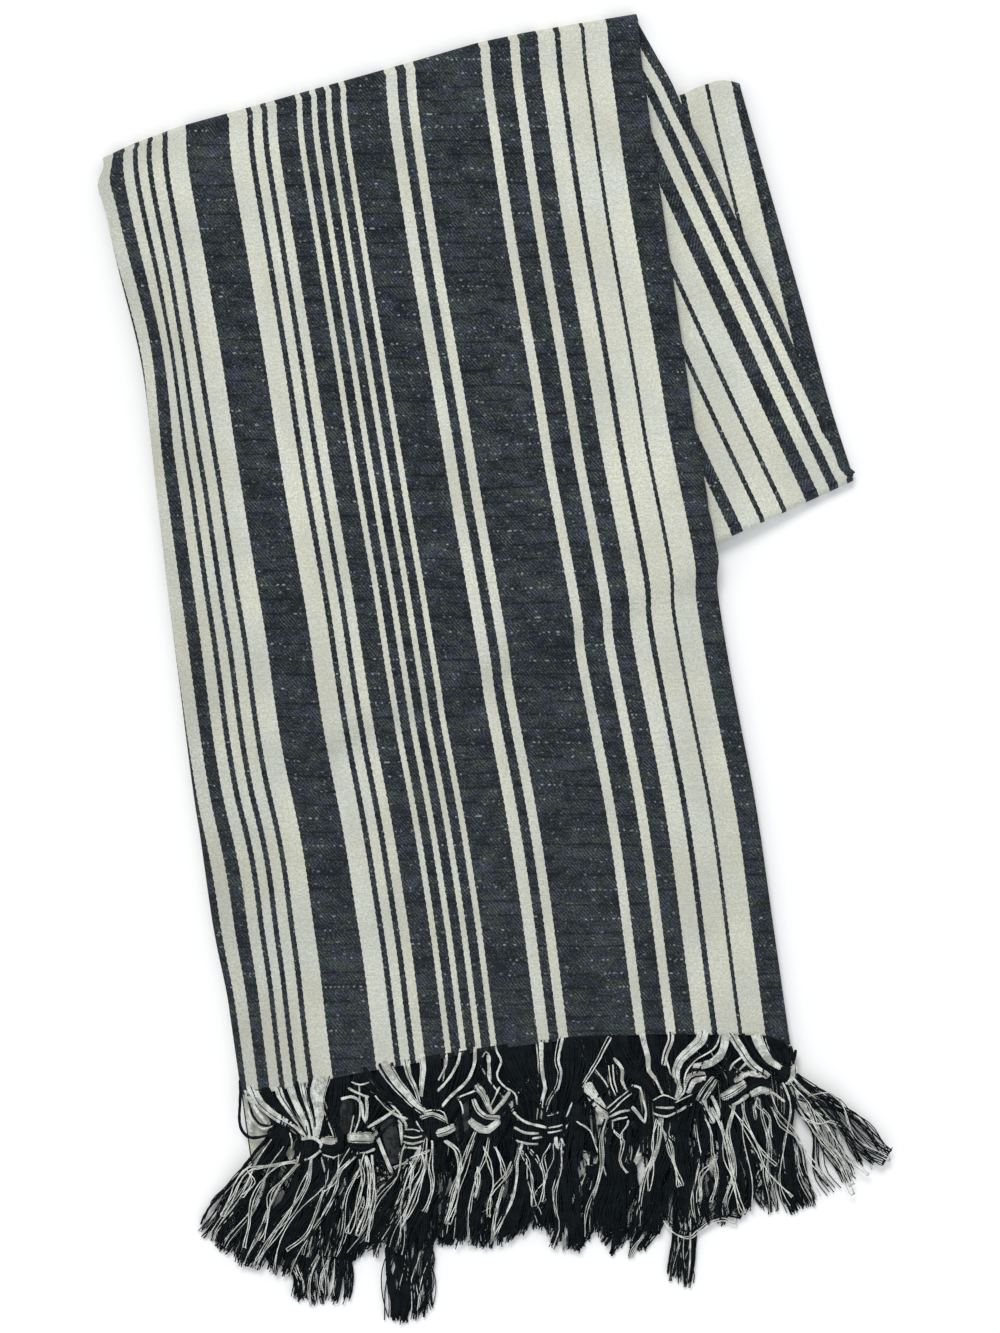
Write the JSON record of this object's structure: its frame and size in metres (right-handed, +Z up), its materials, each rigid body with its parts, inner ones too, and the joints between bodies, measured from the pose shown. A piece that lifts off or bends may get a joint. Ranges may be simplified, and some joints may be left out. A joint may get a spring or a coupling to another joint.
{
  "type": "hammam towel",
  "caption": "Striped cotton hammam towel with a knotted fringe at each end, folded lengthwise and then back and forth into a slanted flat stack.",
  "frame": {"origin": "middle of the folded towel's outline, on the surface that it lies on", "axes": "+Z up off the surface, +Y along the towel from its fringe to its top fold, +X across it to the right"},
  "size_m": [0.4736, 0.782, 0.0184],
  "materials": {
    "striped_cotton": "flat woven cotton in charcoal and cream stripes",
    "cotton_yarn": "loose and knotted cotton warp yarns in charcoal and cream"
  },
  "bodies": {
    "root": {"cloth": "striped_cotton", "tassel_front_01": "cotton_yarn", "tassel_front_02": "cotton_yarn", "tassel_front_03": "cotton_yarn", "tassel_front_04": "cotton_yarn", "tassel_front_05": "cotton_yarn", "tassel_front_06": "cotton_yarn", "tassel_front_07": "cotton_yarn", "tassel_front_08": "cotton_yarn", "tassel_front_09": "cotton_yarn", "tassel_front_10": "cotton_yarn", "tassel_front_11": "cotton_yarn", "tassel_front_12": "cotton_yarn", "tassel_front_13": "cotton_yarn", "tassel_front_14": "cotton_yarn", "tassel_front_15": "cotton_yarn", "tassel_front_16": "cotton_yarn", "tassel_back_01": "cotton_yarn", "tassel_back_02": "cotton_yarn", "tassel_back_03": "cotton_yarn", "tassel_back_04": "cotton_yarn", "tassel_back_05": "cotton_yarn", "tassel_back_06": "cotton_yarn", "tassel_back_07": "cotton_yarn", "tassel_back_08": "cotton_yarn", "tassel_back_09": "cotton_yarn", "tassel_back_10": "cotton_yarn", "tassel_back_11": "cotton_yarn", "tassel_back_12": "cotton_yarn", "tassel_back_13": "cotton_yarn", "tassel_back_14": "cotton_yarn", "tassel_back_15": "cotton_yarn", "tassel_back_16": "cotton_yarn"}
  },
  "joints": []
}
